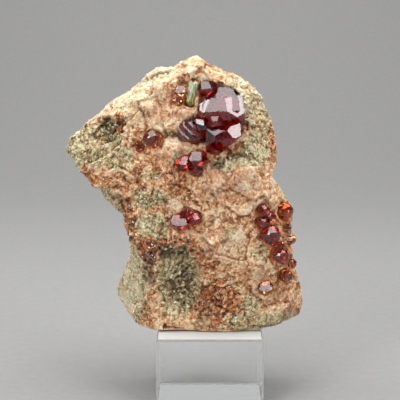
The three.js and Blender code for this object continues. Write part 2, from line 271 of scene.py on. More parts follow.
SEAT_DIP = 0.35          # mm by which the stone draws back around a crystal
SEAT_REACH = (0.6, 2.4)  # mm from a crystal where it does so fully and no longer
FOOT_REACH = (0.2, 2.5)  # mm above the foot where the grain begins to grow and is full
FOOT_GRAIN = 0.2         # its share on the foot
CURVE_ROUNDS = 8
CURVE_REACH = (0.02, 0.28)       # mm of curving from flat to a clear hollow or ridge
VEIN_REACH = (0.1, 0.55)         # mm from a grain's border where the rusty vein fades and ends
PATCH_EDGE = (0.6, 1.3)          # of a patch's half size, where it begins to fade and ends
MERGE_REACH = 0.001 * MM


def only(piece):
    bpy.ops.object.select_all(action="DESELECT")
    piece.select_set(True)
    bpy.context.view_layer.objects.active = piece


def apply_modifier(piece, kind, **settings):
    only(piece)
    made = piece.modifiers.new(kind.lower(), kind)
    for name, value in settings.items():
        setattr(made, name, value)
    bpy.ops.object.modifier_apply(modifier=made.name)


def merged_copy(name, source):
    """A copy of a CAD node's mesh, its loose triangles joined into one skin."""
    piece = bpy.data.objects.new(name, source.data.copy())
    scene.collection.objects.link(piece)
    only(piece)
    bpy.ops.object.mode_set(mode="EDIT")
    bpy.ops.mesh.select_all(action="SELECT")
    bpy.ops.mesh.remove_doubles(threshold=MERGE_REACH)
    bpy.ops.object.mode_set(mode="OBJECT")
    return piece


def vertex_values(mesh, normals=False):
    values = np.empty(len(mesh.vertices) * 3, np.float32)
    if normals:
        mesh.vertex_normals.foreach_get("vector", values)
    else:
        mesh.vertices.foreach_get("co", values)
    return values.reshape(-1, 3).astype(float)


def smooth_step(low, high, value):
    share = np.clip((value - low) / (high - low), 0, 1)
    return share * share * (3 - 2 * share)


def grain_relief(kind, points, bent):
    """Irregular grains with flat, tilted faces: relief, shade and distance to the border.

    bent is the points shifted about, which gives the grains crooked borders.
    """
    seed, size, tilt, step = kind
    rng = np.random.default_rng(seed)
    low = np.floor(bent.min(0) / GRAIN_MARGIN - 0.5) * GRAIN_MARGIN
    high = np.ceil(bent.max(0) / GRAIN_MARGIN + 0.5) * GRAIN_MARGIN
    count = int(np.prod((high - low) / size))
    middles = rng.uniform(low, high, (count, 3))
    tilts = rng.normal(0, 1, (count, 3))
    tilts *= tilt / np.linalg.norm(tilts, axis=1)[:, None]
    steps = rng.uniform(-step, step, count)
    shades = rng.uniform(0, 1, count)
    tree = kdtree.KDTree(count)
    for index, point in enumerate(middles):
        tree.insert(point, index)
    tree.balance()
    near = np.empty((len(points), 2), np.int64)
    border = np.empty(len(points))
    for row, point in enumerate(bent):
        (_, first, first_away), (_, second, second_away) = tree.find_n(point, 2)
        near[row] = first, second
        border[row] = (second_away - first_away) / 2
    levels = [
        np.einsum("ij,ij->i", points - middles[grain], tilts[grain]) + steps[grain]
        for grain in near.T
    ]
    share = 0.5 + 0.5 * smooth_step(0, GRAIN_SEAM, border)
    return levels[0] * share + levels[1] * (1 - share), shades[near[:, 0]], border


def wobble(points, size, amount, seed):
    """Bends straight borders into natural ones."""
    offset = Vector((seed * 17.3, seed * 5.1, seed * 9.7))
    moved = [noise.noise_vector(Vector(point) / size + offset) for point in points]
    return np.array(moved) * amount


def patch_share(patches, across, up):
    share = np.zeros(len(across))
    for x, height, half_width, half_height, strength in patches:
        distance = np.hypot((across - x) / half_width, (up - height) / half_height)
        share = np.maximum(share, strength * (1 - smooth_step(*PATCH_EDGE, distance)))
    return share


def smoothed(mesh, points, rounds):
    """The points, each moved to the middle of its neighbours time and again."""
    ends = np.empty(len(mesh.edges) * 2, np.int64)
    mesh.edges.foreach_get("vertices", ends)
    first, second = ends.reshape(-1, 2).T
    here, there = np.concatenate([first, second]), np.concatenate([second, first])
    count = np.bincount(here, minlength=len(points))
    for _ in range(rounds):
        total = [np.bincount(here, points[there, axis], len(points)) for axis in range(3)]
        points = np.stack(total, 1) / count[:, None]
    return points


def crystal_distance(points):
    """How far each point is from the nearest corner of a CAD crystal, in mm."""
    corners = []
    for subpart in frame["record"]["subparts"]:
        if subpart["node"] not in ("matrix", "display_block"):
            corners.append(vertex_values(frame["nodes"][subpart["node"]].data) / MM)
    corners = np.concatenate(corners)
    tree = kdtree.KDTree(len(corners))
    for index, corner in enumerate(corners):
        tree.insert(corner, index)
    tree.balance()
    return np.array([tree.find(point)[2] for point in points])


def store(mesh, name, values):
    layer = mesh.attributes.new(name, "FLOAT", "POINT")
    layer.data.foreach_set("value", np.asarray(values, np.float32))


def break_surface(piece):
    """Breaks the smooth skin into grains, and notes on its vertices each finish and where shade and
    light are painted.
    """
    mesh = piece.data
    points = vertex_values(mesh) / MM
    worn = patch_share(WORN, points[:, 0], points[:, 2] - STONE_FOOT)
    worn *= smooth_step(CRUST_BACK + 2 * CRUST_BLUR, CRUST_BACK - CRUST_BLUR, points[:, 1])
    points += (smoothed(mesh, points, WEAR_ROUNDS) - points) * worn[:, None]
    mesh.vertices.foreach_set("co", (points * MM).astype(np.float32).ravel())
    mesh.update()
    normals = vertex_values(mesh, normals=True)
    bent = points + sum(wobble(points, *wander) for wander in GRAIN_WANDER)
    across = bent[:, 0] + wobble(points, *PATCH_WANDER)[:, 0]
    up = bent[:, 2] - STONE_FOOT
    back = bent[:, 1] + wobble(points, *CRUST_WANDER)[:, 1]
    front = 1 - smooth_step(CRUST_BACK - CRUST_BLUR, CRUST_BACK + CRUST_BLUR, back)
    green = np.maximum(1 - front, patch_share(GREEN, across, up) * front)
    rust = patch_share(RUST, across, up) * front
    pink = patch_share(PINK, across, up) * front * (1 - rust)

    coarse, coarse_shade, _ = grain_relief(COARSE_GRAIN, points, bent)
    middle, middle_shade, border = grain_relief(CRUST_GRAIN, points, bent)
    fine, fine_shade, _ = grain_relief(FINE_GRAIN, points, bent)
    # The patches where shade is painted.
    painted_shade = patch_share(PAINTED_SHADE_PATCHES, across, up) * front
    # How broken the surface is: most in the rust and the painted shade patches, least on the pink
    # plates.
    broken = 0.5 + 0.9 * np.maximum(rust, painted_shade) + 0.4 * green - 0.35 * pink
    broken = np.clip(broken - 0.6 * patch_share(SMOOTH, across, up), 0.15, 1.4)
    rough = wobble(points, *SURFACE_ROUGHNESS)[:, 0]
    relief = coarse + middle * (0.6 + 0.4 * broken) + (fine + rough) * broken
    seated = 1 - smooth_step(*SEAT_REACH, crystal_distance(points))
    relief = relief * (1 - seated) - SEAT_DIP * seated
    above_foot = smooth_step(*FOOT_REACH, points[:, 2] - STONE_FOOT)
    relief *= FOOT_GRAIN + (1 - FOOT_GRAIN) * above_foot
    points += normals * relief[:, None]
    points[:, 2] = np.maximum(points[:, 2], STONE_FOOT)
    mesh.vertices.foreach_set("co", (points * MM).astype(np.float32).ravel())
    mesh.update()
    hollow = np.einsum("ij,ij->i", smoothed(mesh, points, CURVE_ROUNDS) - points, normals)
    store(mesh, "green", green)
    store(mesh, "rust", rust)
    store(mesh, "cream", patch_share(CREAM, across, up))
    store(mesh, "painted_shade", painted_shade)
    store(mesh, "pink", pink)
    store(mesh, "shade", 0.55 * middle_shade + 0.45 * fine_shade)
    # Painted light: the host's upward-facing slopes to the left and right of the peak are
    # painted paler, as lit from above; the rind patches are paler in their own colour.
    pale = np.maximum(smooth_step(-6, -16, points[:, 0]), smooth_step(5, 11, points[:, 0]))
    pale *= smooth_step(0.3, 0.75, normals[:, 2]) * smooth_step(60, 70, up)
    store(mesh, "pale", np.maximum(0.75 * pale, patch_share(RIND, across, up)))
    store(mesh, "vein", 1 - smooth_step(*VEIN_REACH, border))
    store(mesh, "tint", 0.5 * coarse_shade + 0.5 * middle_shade)
    store(mesh, "curl", 0.55 * front * (1 - 0.3 * green) + 0.45 * rust)
    # Where the rock paints shade into hollows and a highlight onto ridges.
    store(mesh, "hollow", smooth_step(*CURVE_REACH, hollow))
    store(mesh, "ridge", smooth_step(*CURVE_REACH, -hollow))


def attribute(tree, name):
    return node(tree, "ShaderNodeAttribute", attribute_name=name).outputs["Fac"]


def weighted(tree, *parts):
    """The sum of (socket, weight) parts."""
    total = calculated(tree, "MULTIPLY", *parts[0])
    for value, weight in parts[1:]:
        total = calculated(tree, "ADD", total, calculated(tree, "MULTIPLY", value, weight))
    return total


def patchy(tree, share, speckle, sharpness=5.0):
    """Makes a soft patch break up into specks towards its edge."""
    lifted = calculated(tree, "SUBTRACT", calculated(tree, "ADD", share, speckle), 0.98)
    return calculated(tree, "MULTIPLY", lifted, sharpness, clamp=True)


def stretched(tree, place, scale):
    made = node(tree, "ShaderNodeMapping", Scale=scale)
    tree.links.new(place, made.inputs["Vector"])
    return made.outputs["Vector"]


def cells(tree, place, size):
    """Angular crystals of one size, each with a value of its own."""
    made = node(tree, "ShaderNodeTexVoronoi", Scale=1 / size)
    tree.links.new(place, made.inputs["Vector"])
    return made.outputs["Color"]


def shifted(tree, place, size, amount):
    """Moves places about by a noise, which makes straight borders crooked."""
    cloud = node(tree, "ShaderNodeTexNoise", Scale=1 / size, Detail=3)
    tree.links.new(place, cloud.inputs["Vector"])
    made = node(tree, "ShaderNodeVectorMath", operation="MULTIPLY_ADD")
    tree.links.new(cloud.outputs["Color"], made.inputs[0])
    made.inputs[1].default_value = (amount, amount, amount)
    tree.links.new(place, made.inputs[2])
    return made.outputs["Vector"]


# Sizes of the rock's patterns.
CROOK_SIZE = 1.2 * MM
CROOK_AMOUNT = 1.3 * MM
FINE_SIZE = 0.6 * MM
SPECK_SIZE = 1.6 * MM
BLOTCH_SIZE = 5 * MM
CLOUD_SIZE = 16 * MM
STREAK_SIZE = 1.5 * MM
CRYSTAL_SIZE = 1.25 * MM
SUGAR_SIZE = 0.6 * MM
CURL_SIZE = 2.8 * MM
ROCK_RELIEF = 0.6 * MM

# Tones of each finish from its pits to its heights: (position, colour).
CRUST_TONES = [
    (0.39, (0.15, 0.038, 0.01)), (0.44, (0.42, 0.15, 0.045)), (0.49, (0.62, 0.32, 0.13)),
    (0.54, (0.74, 0.5, 0.275)), (0.6, (0.85, 0.73, 0.5)),
]
PINK_TONES = [
    (0.38, (0.29, 0.1, 0.04)), (0.44, (0.5, 0.245, 0.125)), (0.51, (0.65, 0.41, 0.25)),
    (0.6, (0.82, 0.67, 0.47)),
]
RUST_TONES = [
    (0.4, (0.07, 0.014, 0.003)), (0.45, (0.28, 0.062, 0.01)), (0.5, (0.54, 0.165, 0.03)),
    (0.55, (0.7, 0.31, 0.09)), (0.62, (0.84, 0.6, 0.33)),
]
CREAM_TONES = [
    (0.4, (0.36, 0.19, 0.085)), (0.48, (0.62, 0.45, 0.26)), (0.58, (0.84, 0.72, 0.51)),
]
HOST_TONES = [
    (0.4, (0.085, 0.064, 0.02)), (0.45, (0.275, 0.225, 0.097)), (0.5, (0.485, 0.43, 0.22)),
    (0.55, (0.65, 0.595, 0.35)), (0.61, (0.81, 0.765, 0.54)),
]
RIND_TONES = [
    (0.4, (0.34, 0.275, 0.14)), (0.47, (0.56, 0.495, 0.3)), (0.58, (0.79, 0.745, 0.54)),
]
CURL_COLOUR = (0.42, 0.11, 0.02)
# The colour multiplied into the painted shade patches.
PAINTED_SHADE_COLOUR = (0.26, 0.205, 0.105)
# Painted shade in the hollows and a painted highlight on the ridges.
HOLLOW_SHADE_COLOUR = (0.5, 0.33, 0.21)
RIDGE_HIGHLIGHT_COLOUR = (0.84, 0.7, 0.5)


def rock():
    material, tree, shader, place = new_material("rock")
    crooked = shifted(tree, place, CROOK_SIZE, CROOK_AMOUNT)
    fine = noise_value(tree, place, FINE_SIZE, 6, 0.78)
    speck = noise_value(tree, place, SPECK_SIZE, 6, 0.7)
    blotch = noise_value(tree, place, BLOTCH_SIZE, 5, 0.62)
    cloud = noise_value(tree, place, CLOUD_SIZE, 3, 0.6)
    streak = noise_value(tree, stretched(tree, place, (1, 1, 0.2)), STREAK_SIZE, 5, 0.65)
    crystals = cells(tree, crooked, CRYSTAL_SIZE)
    sugar = cells(tree, crooked, SUGAR_SIZE)
    shade = attribute(tree, "shade")

    crust_tone = weighted(tree, (shade, 0.16), (crystals, 0.2), (sugar, 0.18),
                          (speck, 0.22), (fine, 0.25))
    crust = ramp(tree, crust_tone, CRUST_TONES)
    rust = ramp(tree, crust_tone, RUST_TONES)
    host_tone = weighted(tree, (shade, 0.08), (streak, 0.2), (crystals, 0.15), (sugar, 0.17),
                         (fine, 0.25), (cloud, 0.15))
    colour = mixed(tree, attribute(tree, "pink"), crust, ramp(tree, crust_tone, PINK_TONES))
    colour = mixed(tree, patchy(tree, attribute(tree, "cream"), blotch), colour,
                   ramp(tree, crust_tone, CREAM_TONES))
    stain = ramp(tree, blotch, [(0.56, grey(0)), (0.64, grey(0.4))])
    colour = mixed(tree, stain, colour, crust)
    colour = mixed(tree, patchy(tree, attribute(tree, "green"), speck), colour,
                   ramp(tree, host_tone, HOST_TONES))
    colour = mixed(tree, patchy(tree, attribute(tree, "rust"), speck), colour, rust)
    # Painted light on the upward-facing slopes, with the pale rind, in the rind's tones.
    colour = mixed(tree, patchy(tree, attribute(tree, "pale"), speck), colour,
                   ramp(tree, host_tone, RIND_TONES))
    vein = calculated(tree, "MULTIPLY", attribute(tree, "vein"),
                      ramp(tree, speck, [(0.45, grey(0)), (0.58, grey(0.7))]))
    colour = mixed(tree, vein, colour, rust)
    curls = noise_value(tree, place, CURL_SIZE, 4, 0.6, 1.4)
    curls = ramp(tree, curls, [(0.475, grey(0)), (0.495, grey(1)), (0.505, grey(1)), (0.525, grey(0))])
    curls = calculated(tree, "MULTIPLY", curls, attribute(tree, "curl"))
    colour = mixed(tree, curls, colour, CURL_COLOUR)
    # Painted shade: the shade patches are multiplied darker.
    painted_shade_cover = patchy(tree, attribute(tree, "painted_shade"), blotch, 2.4)
    colour = mixed(tree, painted_shade_cover, colour, PAINTED_SHADE_COLOUR, "MULTIPLY")
    # Painted shade in the hollows and a painted highlight on the ridges, from how the surface curves.
    colour = mixed(tree, attribute(tree, "hollow"), colour, HOLLOW_SHADE_COLOUR, "MULTIPLY")
    edge = calculated(tree, "MULTIPLY", attribute(tree, "ridge"), 0.25)
    colour = mixed(tree, edge, colour, RIDGE_HIGHLIGHT_COLOUR)
    tree.links.new(colour, shader.inputs["Base Color"])

    shine = weighted(tree, (attribute(tree, "tint"), 0.25), (crystals, 0.6), (fine, 0.2))
    tree.links.new(shine, shader.inputs["Roughness"])
    height = weighted(tree, (crystals, 0.3), (sugar, 0.25), (fine, 0.7), (speck, 0.3))
    bump(tree, shader, height, ROCK_RELIEF, 0.9)
    return material


noise.seed_set(NOISE_SEED)
stone = merged_copy("stone", frame["nodes"]["matrix"])
seat = merged_copy("seat", frame["nodes"]["garnet_main"])
seat.location.y = SEAT_DEPTH
bpy.ops.object.transform_apply()
stone.select_set(True)
bpy.context.view_layer.objects.active = stone
bpy.ops.object.join()
apply_modifier(stone, "REMESH", mode="VOXEL", voxel_size=VOXEL, use_smooth_shade=True)
break_surface(stone)
apply_modifier(stone, "DECIMATE", ratio=STONE_TRIANGLES / (2 * len(stone.data.polygons)))
only(stone)
bpy.ops.object.shade_smooth_by_angle(angle=math.radians(SHARP_ANGLE))
dress(stone, rock())
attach(stone, "root")
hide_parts("matrix")

# ---------------------------------------------------------------------------
# Large garnet cluster. Deep red, glassy grossular crystals grown through each other
# out of a cavity in the crust, the left one with growth steps. Each crystal is cut
# from a block by its flat faces, and the crystals are joined in one solid.

# A face is (turn to the right, turn up, distance from the middle in mm); 0, 0 looks
# straight to the front. The hidden faces' distances are shares of the reach.
SIDE_FACES = [
    (95, 4, 1.0), (-95, 2, 1.0), (140, -30, 0.9), (-140, -28, 0.9), (180, 20, 0.9),
    (150, 40, 0.95), (-150, 42, 0.95), (0, 88, 0.82), (10, -80, 0.85),
]
# Each crystal is its middle (x, y, height above the foot), its reach in mm and its
# faces. The left one and its growth steps share a middle.
LEFT_MIDDLE = (-6.2, -9.4, 76.4)
LEFT_REACH = 5.4
CLUSTER = {
    "crown": ((4, -10.5, 84.2), 8.4, [
        (-3, 38, 5.5), (38, 36, 5.6), (-40, 41, 6.75), (0, -25, 6.3), (55, -12, 8.6),
        (-58, -10, 9.0), (20, -52, 6.4), (-28, -50, 6.6), (0, 82, 5.3),
    ]),
    "cap": ((3.9, -8.9, 88.4), 6.2, [
        (18, 41, 3.4), (-14, 42, 3.8), (-90, 45, 4.2), (-90, 66, 4.1), (0, 88, 4.4),
        (90, 69, 5.0), (90, 30, 5.7),
    ]),
    "lower": ((5.6, -13.2, 74.4), 7.0, [
        (-8, 56, 5.5), (-6, 18, 6.1), (31, 38, 5.8), (-20, 36, 6.05), (0, -14, 6.1),
        (50, -16, 6.4), (-46, -8, 6.6), (81, -50, 3.4), (-24, -40, 5.6), (70, 20, 6.8),
    ]),
    "small": ((1.9, -15.6, 80.7), 2.7, [
        (-6, 40, 2.3), (44, 20, 2.5), (-46, 10, 2.6), (4, -20, 2.6), (0, -60, 2.5),
    ]),
    "dark": ((-2.3, -13.4, 79.2), 2.8, [
        (32, 22, 2.8), (-24, 18, 2.9), (-36, -18, 2.8), (22, -20, 2.9), (0, -60, 2.8),
        (-10, 72, 2.6),
    ]),
    "shoulder": ((-6.2, -8.6, 81.8), 3.4, [
        (-22, 32, 2.8), (34, 26, 3.1), (-50, 58, 2.9), (16, 72, 2.9), (0, -30, 3.0),
    ]),
    "left": (LEFT_MIDDLE, LEFT_REACH, [
        (17, 38, 4.7), (-30, -8, 4.0), (-46, 30, 5.2), (26, -24, 5.6), (-8, 66, 5.0),
        (-5, -62, 4.8),
    ]),
    "left_step": (LEFT_MIDDLE, LEFT_REACH, [
        (17, 38, 3.3), (-30, -8, 4.8), (-46, 30, 5.6), (26, -24, 5.8), (-5, -62, 4.7),
    ]),
    "left_second_step": (LEFT_MIDDLE, LEFT_REACH, [
        (17, 38, 1.7), (-30, -8, 5.6), (-46, 30, 6.0), (26, -24, 6.0), (-5, -62, 4.6),
    ]),
}
EDGE_WEAR = 0.07 * MM
GARNET_IOR = 1.74
VEIL_SIZE = 1.2 * MM
VEIL_CLEAR = (1, 0.95, 0.94)
CLEAR_SHINE = 0.01
GROWTH_SIZE = 3.2 * MM
GROWTH_RIPPLE = 0.02 * MM


def facing(turn, rise):
    turn, rise = math.radians(turn), math.radians(rise)
    return Vector((math.sin(turn) * math.cos(rise), -math.cos(turn) * math.cos(rise),
                   math.sin(rise)))


def cut_crystal(name, middle, reach, faces):
    """Cuts a block down to a crystal by its faces, and wears its edges a little."""
    bpy.ops.object.select_all(action="DESELECT")
    centre = Vector((middle[0], middle[1], middle[2] + STONE_FOOT)) * MM
    bpy.ops.mesh.primitive_cube_add(size=4 * reach * MM, location=centre)
    crystal = bpy.context.object
    crystal.name = name
    bpy.ops.object.transform_apply()
    bpy.ops.object.mode_set(mode="EDIT")
    sides = [(turn, rise, distance * reach) for turn, rise, distance in SIDE_FACES]
    for turn, rise, distance in faces + sides:
        outward = facing(turn, rise)
        bpy.ops.mesh.select_all(action="SELECT")
        bpy.ops.mesh.bisect(plane_co=centre + outward * distance * MM, plane_no=outward,
                            use_fill=True, clear_outer=True)
    bpy.ops.mesh.select_all(action="SELECT")
    bpy.ops.mesh.normals_make_consistent(inside=False)
    bpy.ops.mesh.bevel(offset=EDGE_WEAR, segments=1, affect="EDGES")
    bpy.ops.object.mode_set(mode="OBJECT")
    return crystal


def joined_solid(name, pieces):
    """Joins overlapping solids in one."""
    whole = pieces[0]
    for piece in pieces[1:]:
        apply_modifier(whole, "BOOLEAN", operation="UNION", object=piece, solver="EXACT")
        bpy.data.objects.remove(piece)
    whole.name = name
    return whole


def spread(tree, value, low, high, start, end):
    """Turns the stretch from low to high into one from start to end, and stops there."""
    made = node(tree, "ShaderNodeMapRange", From_Min=low, From_Max=high)
    tree.links.new(value, made.inputs["Value"])
    linked(tree, start, made.inputs["To Min"])
    linked(tree, end, made.inputs["To Max"])
    return made.outputs["Result"]


def garnet_veil():
    """The node group for the dusty veil and the faint growth ripple in every garnet."""
    group = bpy.data.node_groups.new("garnet_veil", "ShaderNodeTree")
    for name, way, kind in (("Place", "INPUT", "Vector"), ("Dusty", "INPUT", "Color"),
                            ("Haze", "INPUT", "Float"), ("Tone", "OUTPUT", "Color"),
                            ("Shine", "OUTPUT", "Float"), ("Growth", "OUTPUT", "Float")):
        group.interface.new_socket(name, in_out=way, socket_type="NodeSocket" + kind)
    given = node(group, "NodeGroupInput").outputs
    result = node(group, "NodeGroupOutput").inputs
    veil = noise_value(group, given["Place"], VEIL_SIZE, 5, 0.65)
    dust = spread(group, veil, 0.45, 0.75, 0, 1)
    group.links.new(mixed(group, dust, VEIL_CLEAR, given["Dusty"]), result["Tone"])
    shine = spread(group, veil, 0.5, 0.75, CLEAR_SHINE, given["Haze"])
    group.links.new(shine, result["Shine"])
    growth = noise_value(group, given["Place"], GROWTH_SIZE, 2, 0.4, 1.0)
    group.links.new(growth, result["Growth"])
    return group


GARNET_VEIL = garnet_veil()


def garnet(name, clear, depth, dusty, haze):
    """clear is the colour light keeps, depth how strongly the rest is taken, per metre."""
    material, tree, shader, place = new_material(name)
    shader.inputs["Transmission Weight"].default_value = 1
    shader.inputs["IOR"].default_value = GARNET_IOR
    veil = node(tree, "ShaderNodeGroup", node_tree=GARNET_VEIL)
    tree.links.new(place, veil.inputs["Place"])
    veil.inputs["Dusty"].default_value = (*dusty, 1)
    veil.inputs["Haze"].default_value = haze
    tree.links.new(veil.outputs["Tone"], shader.inputs["Base Color"])
    tree.links.new(veil.outputs["Shine"], shader.inputs["Roughness"])
    bump(tree, shader, veil.outputs["Growth"], GROWTH_RIPPLE, 0.2)
    absorb = node(tree, "ShaderNodeVolumeAbsorption", Color=(*clear, 1), Density=depth)
    output = tree.nodes["Material Output"]
    tree.links.new(absorb.outputs["Volume"], output.inputs["Volume"])
    return material


red_garnet = garnet("red_garnet", (0.82, 0.02, 0.012), 600, (1, 0.85, 0.8), 0.03)
cluster = joined_solid("garnet_cluster", [
    cut_crystal(name, middle, reach, faces) for name, (middle, reach, faces) in CLUSTER.items()
])
dress(cluster, red_garnet)
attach(cluster, "root")
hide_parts("garnet_main")

# ---------------------------------------------------------------------------
# Small garnets. The same mineral, some of them paler and more orange, each
# grown into the crust. Most CAD crystals have their true faces and only get
# their glass; five groups show broad faces, so they are cut like the cluster.

# The crystals of each group, listed as in the cluster.
FACED_GROUPS = {
    "garnet_upper_small": [
        ((-0.8, -10.2, 92.3), 3.3, [
            (-14, 38, 2.3), (44, 46, 2.4), (-2, -26, 2.7), (-64, 20, 3.0), (62, -18, 3.0),
            (54, -50, 2.6), (-50, -46, 2.6), (0, 80, 2.8),
        ]),
    ],
    "garnet_upper_left": [
        ((-10.6, -10.7, 91.3), 2.5, [
            (-6, 38, 1.3), (0, -26, 2.1), (60, 30, 2.0), (-62, 34, 2.1), (56, -42, 2.1),
            (-56, -40, 2.1),
        ]),
        ((-11.6, -10.3, 88.2), 2.2, [
            (0, -10, 1.8), (50, 22, 1.9), (-50, 24, 1.9), (54, -42, 1.8), (-50, -44, 1.8),
        ]),
    ],
    "garnet_lower_pair": [
        ((-4.6, -15.0, 66.6), 3.6, [
            (-8, 40, 2.5), (37, 32, 3.0), (-4, -20, 3.3), (-62, 38, 3.2), (66, 40, 3.1),
            (60, -34, 3.2), (-56, -36, 3.3), (10, 74, 3.2),
        ]),
        ((-9.4, -14.0, 65.0), 3.1, [
            (6, 42, 1.7), (-10, -22, 2.6), (-64, 44, 2.3), (-60, -38, 2.6), (48, -16, 2.7),
            (0, -58, 2.5),
        ]),
        ((-5.2, -14.0, 62.6), 2.7, [
            (-4, -12, 2.4), (48, 24, 2.3), (-46, 22, 2.4), (54, -42, 2.1), (-50, -44, 2.2),
        ]),
    ],
    "garnet_middle": [
        ((-11.2, -15.7, 43.2), 3.5, [
            (-6, 37, 1.9), (-4, -24, 3.1), (62, 30, 3.1), (-66, 34, 3.3), (58, -40, 2.9),
            (-52, -42, 2.8), (0, 78, 3.0),
        ]),
        ((-8.6, -15.3, 46.8), 2.4, [
            (26, 12, 2.2), (-32, 22, 2.2), (0, -34, 2.3), (70, 48, 1.9), (-68, 52, 1.9),
        ]),
        ((-5.8, -14.9, 44.6), 2.8, [
            (18, 36, 2.2), (-34, 8, 2.5), (34, -22, 2.5), (72, 42, 2.2), (66, -44, 2.1),
            (-30, -58, 2.3),
        ]),
    ],
    "garnet_low": [
        ((21.0, -10.9, 17.3), 3.0, [
            (-6, 38, 1.6), (6, -24, 2.5), (-64, 40, 2.4), (66, 30, 2.4), (58, -42, 2.2),
            (-56, -40, 2.3),
        ]),
    ],
}

orange_garnet = garnet("orange_garnet", (0.97, 0.54, 0.12), 270, (1, 0.8, 0.6), 0.2)
small_red_garnet = garnet("small_red_garnet", (0.9, 0.31, 0.07), 330, (1, 0.7, 0.55), 0.15)
faced_red_garnet = garnet("faced_red_garnet", (0.84, 0.13, 0.035), 430, (1, 0.7, 0.55), 0.1)
GARNET_GLASS = {"red_garnet": small_red_garnet, "orange_garnet": orange_garnet}
FACED_GLASS = {"red_garnet": faced_red_garnet, "orange_garnet": orange_garnet}
for subpart in frame["record"]["subparts"]:
    node_name, slot = subpart["node"], subpart["material_slot"]
    if node_name in FACED_GROUPS:
        group = joined_solid(node_name + "_faced", [
            cut_crystal("crystal", *sizes) for sizes in FACED_GROUPS[node_name]
        ])
        dress(group, FACED_GLASS[slot])
        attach(group, "root")
        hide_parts(node_name)
    elif slot in GARNET_GLASS and node_name != "garnet_main":
        dress(frame["nodes"][node_name], GARNET_GLASS[slot])

# ---------------------------------------------------------------------------
# Diopside prism. A pale green, cloudy prism, striped along its length and
# broken off at its ends, between the two small garnets at the top.

PRISM_FOOT, PRISM_TOP = (corner.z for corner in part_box("diopside_prism"))
PALING = (PRISM_FOOT + 2.5 * MM, PRISM_TOP - 3.5 * MM)      # from its yellow foot to its pale top
PRISM_LEAN = 15          # degrees to the right
DIOPSIDE_IOR = 1.68
STRIPE_WIDTH = 0.6 * MM
STRIPE_DEPTH = 0.3 * MM
SPLINTER_EDGE = 0.1 * MM
BREAK_PLACE = 0.44       # of its length, from a splinter's middle to each break
# The breaks: which end, and how they slant.
BREAKS = [(1, (0.5, -0.4, 0)), (1, (-0.8, -0.2, 0)), (-1, (-0.5, -0.6, 0))]
# Splinters: (place across, depth, height) from the middle, radius and length in mm, lean.
SPLINTERS = [
    ((0, 0.2, 0), 1.45, 9.8, PRISM_LEAN), ((-1.1, 0.3, 1.2), 0.8, 7.4, PRISM_LEAN - 3),
    ((0.9, 0.4, -1.6), 0.7, 6.6, PRISM_LEAN + 4),
]


def splinter(offset, radius, length, lean):
    """A six-sided prism, broken off aslant at both ends."""
    low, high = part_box("diopside_prism")
    middle = (low + high) / 2 + Vector(offset) * MM
    bpy.ops.object.select_all(action="DESELECT")
    bpy.ops.mesh.primitive_cylinder_add(vertices=6, radius=radius * MM, depth=length * MM,
                                        rotation=(0, math.radians(lean), 0), location=middle)
    prism = bpy.context.object
    bpy.ops.object.transform_apply()
    along = Vector((math.sin(math.radians(lean)), 0, math.cos(math.radians(lean))))
    bpy.ops.object.mode_set(mode="EDIT")
    for end, slant in BREAKS:
        outward = (along * end + Vector(slant)).normalized()
        bpy.ops.mesh.select_all(action="SELECT")
        bpy.ops.mesh.bisect(plane_co=middle + along * end * length * BREAK_PLACE * MM,
                            plane_no=outward, use_fill=True, clear_outer=True)
    bpy.ops.mesh.select_all(action="SELECT")
    bpy.ops.mesh.normals_make_consistent(inside=False)
    bpy.ops.mesh.bevel(offset=SPLINTER_EDGE, segments=1, affect="EDGES")
    bpy.ops.object.mode_set(mode="OBJECT")
    return prism


def diopside(name):
    material, tree, shader, place = new_material(name)
    shader.inputs["IOR"].default_value = DIOPSIDE_IOR
    shader.inputs["Transmission Weight"].default_value = 0.35
    along = node(tree, "ShaderNodeMapping", Rotation=(0, math.radians(-PRISM_LEAN), 0),
                 Scale=(1, 1, 0.12))
    tree.links.new(place, along.inputs["Vector"])
    stripes = noise_value(tree, along.outputs["Vector"], STRIPE_WIDTH, 4, 0.6)
    low_end = ramp(tree, stripes, [(0.38, (0.2, 0.17, 0.03)), (0.5, (0.44, 0.42, 0.13)),
                                   (0.62, (0.66, 0.63, 0.3))])
    high_end = ramp(tree, stripes, [(0.38, (0.3, 0.31, 0.15)), (0.5, (0.58, 0.6, 0.38)),
                                    (0.62, (0.8, 0.81, 0.65))])
    height = node(tree, "ShaderNodeSeparateXYZ")
    tree.links.new(place, height.inputs["Vector"])
    upwards = spread(tree, height.outputs["Z"], *PALING, 0, 1)
    tone = mixed(tree, upwards, low_end, high_end)
    tree.links.new(tone, shader.inputs["Base Color"])
    shine = ramp(tree, stripes, [(0.4, grey(0.18)), (0.6, grey(0.4))])
    tree.links.new(shine, shader.inputs["Roughness"])
    bump(tree, shader, stripes, STRIPE_DEPTH, 0.8)
    return material


prism = joined_solid("prism", [splinter(*sizes) for sizes in SPLINTERS])
dress(prism, diopside("diopside"))
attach(prism, "root")
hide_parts("diopside_prism")

# ---------------------------------------------------------------------------
# Druse and grains. Garnets a millimetre across or less sit in the rusty parts of
# the crust, and pale diopside grains stand out of the green parts. Each kind is
# one mesh of small crystals that are sunk into the stone's surface.

DRUSE_SEED = 31
DRUSE_COUNT = 460
DRUSE_SIZES = (0.4, 1.0)         # mm
DRUSE_SUNK = 0.25                # of half its size
GRAIN_SEED = 32
GRAIN_COUNT = 620
GRAIN_SIZES = (0.4, 0.9)
GRAIN_SUNK = 0.3
GRAIN_CELL = 1.3 * MM
SEARCH_ACROSS = (-55, 36)        # mm, the stretch of the stone's face that is searched
SEARCH_UP = (1, 103)
SEARCH_FRONT = -60 * MM


